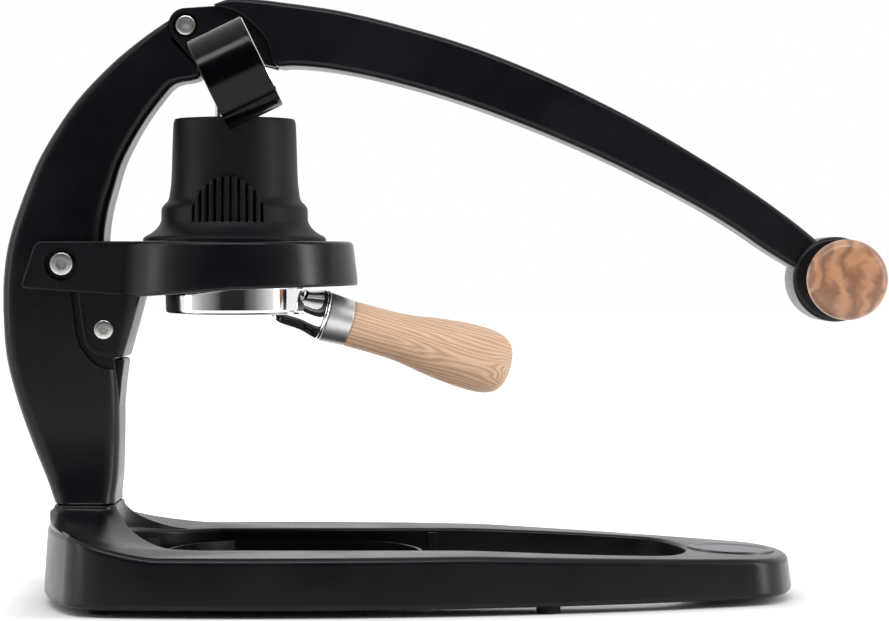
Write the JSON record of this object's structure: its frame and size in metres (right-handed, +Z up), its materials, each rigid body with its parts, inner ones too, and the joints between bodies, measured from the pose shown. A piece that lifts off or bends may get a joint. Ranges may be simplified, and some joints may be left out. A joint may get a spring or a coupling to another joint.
{
  "type": "lever espresso maker",
  "caption": "Hand-lever espresso maker: curved post on a loop base, ring head with brew cylinder, fork lever with wooden side grip, plunger gauge and twist-lock filter holder.",
  "frame": {"origin": "centre of the footprint at table height, under the middle of the overall box", "axes": "+X from the post toward the lever handle, +Z up, +Y away from the gauge side"},
  "size_m": [0.4154, 0.1898, 0.2853],
  "materials": {
    "black_paint": "cast aluminium under a satin black powder coat",
    "lever_black": "cast aluminium under a satin black powder coat, slightly bluish",
    "grey_enamel": "satin grey metal disc, bare",
    "foot_rubber": "matte black rubber",
    "tray_black": "black, slightly glossy",
    "bolt_steel": "dark zinc plated steel",
    "steel": "bright turned steel",
    "seal_rubber": "black seal rubber",
    "sleeve_silicone": "matte black silicone",
    "ring_rubber": "red silicone ring",
    "bronze": "oiled bronze",
    "brass": "bright brass",
    "chrome": "polished chrome",
    "grip_wood": "warm orange-brown wood, oiled",
    "handle_wood": "pale ash with open grain, oiled",
    "case_black": "black, semi-gloss",
    "dial_white": "white printed dial",
    "needle_black": "black",
    "glass": "clear"
  },
  "bodies": {
    "stand": {"base_casting": "black_paint", "base_badge": "grey_enamel", "rubber_feet": "foot_rubber", "post": "black_paint", "foot_bolts": "bolt_steel", "head_frame": "black_paint", "arm_bolts": "bolt_steel", "tab_bolts": "bolt_steel", "brew_cylinder": "steel", "group_ring": "steel", "shower_screen": "steel", "group_gasket": "seal_rubber", "silicone_sleeve": "sleeve_silicone", "pivot_bolt": "bolt_steel", "pivot_nut": "bolt_steel"},
    "tray": {"drip_tray": "tray_black"},
    "lever": {"lever_arm": "lever_black", "pivot_bushes": "bronze", "grip_rod": "steel", "grip": "grip_wood"},
    "plunger": {"piston": "steel", "piston_rings": "ring_rubber", "plunger_stem": "steel", "stem_head": "steel", "plunger_pin": "steel", "slot_washers": "bolt_steel", "pin_clip": "bolt_steel", "gauge_fitting": "brass", "gauge_case": "case_black", "gauge_movement": "brass", "gauge_dial": "dial_white", "gauge_glass": "glass", "gauge_bezel": "case_black"},
    "needle": {"gauge_needle": "needle_black"},
    "holder": {"holder_body": "chrome", "holder_neck": "chrome", "neck_ring": "chrome", "handle_ferrule": "chrome", "wood_handle": "handle_wood", "handle_stud": "steel", "filter_basket": "steel", "basket_spring": "steel"}
  },
  "joints": [
    {"name": "lever_pivot", "type": "hinge", "parent": "stand", "child": "lever", "pos_m": [-0.12115, 0, 0.2726], "axis": [0, -1, 0], "range_deg": [0, 65]},
    {"name": "plunger_slide", "type": "slide", "parent": "stand", "child": "plunger", "axis": [0, 0, 1], "range_m": [0, 0.0305]},
    {"name": "holder_twist", "type": "hinge", "parent": "stand", "child": "holder", "pos_m": [-0.09855, 0, 0.15], "axis": [0, 0, 1], "range_deg": [-55, 0]},
    {"name": "tray_lift", "type": "slide", "parent": "stand", "child": "tray", "axis": [0, 0, 1], "range_m": [0, 0.04]},
    {"name": "gauge_pointer", "type": "hinge", "parent": "plunger", "child": "needle", "pos_m": [-0.09475, -0.05, 0.247], "axis": [-0.8985, -0.0235, -0.4384], "range_deg": [0, 270], "stiffness_Nm_per_rad": 0.0004, "springref_deg": -17.19}
  ],
  "couplings": [
    {"joint": "plunger_slide", "follows": "lever_pivot", "m_per_rad": 0.02688}
  ]
}
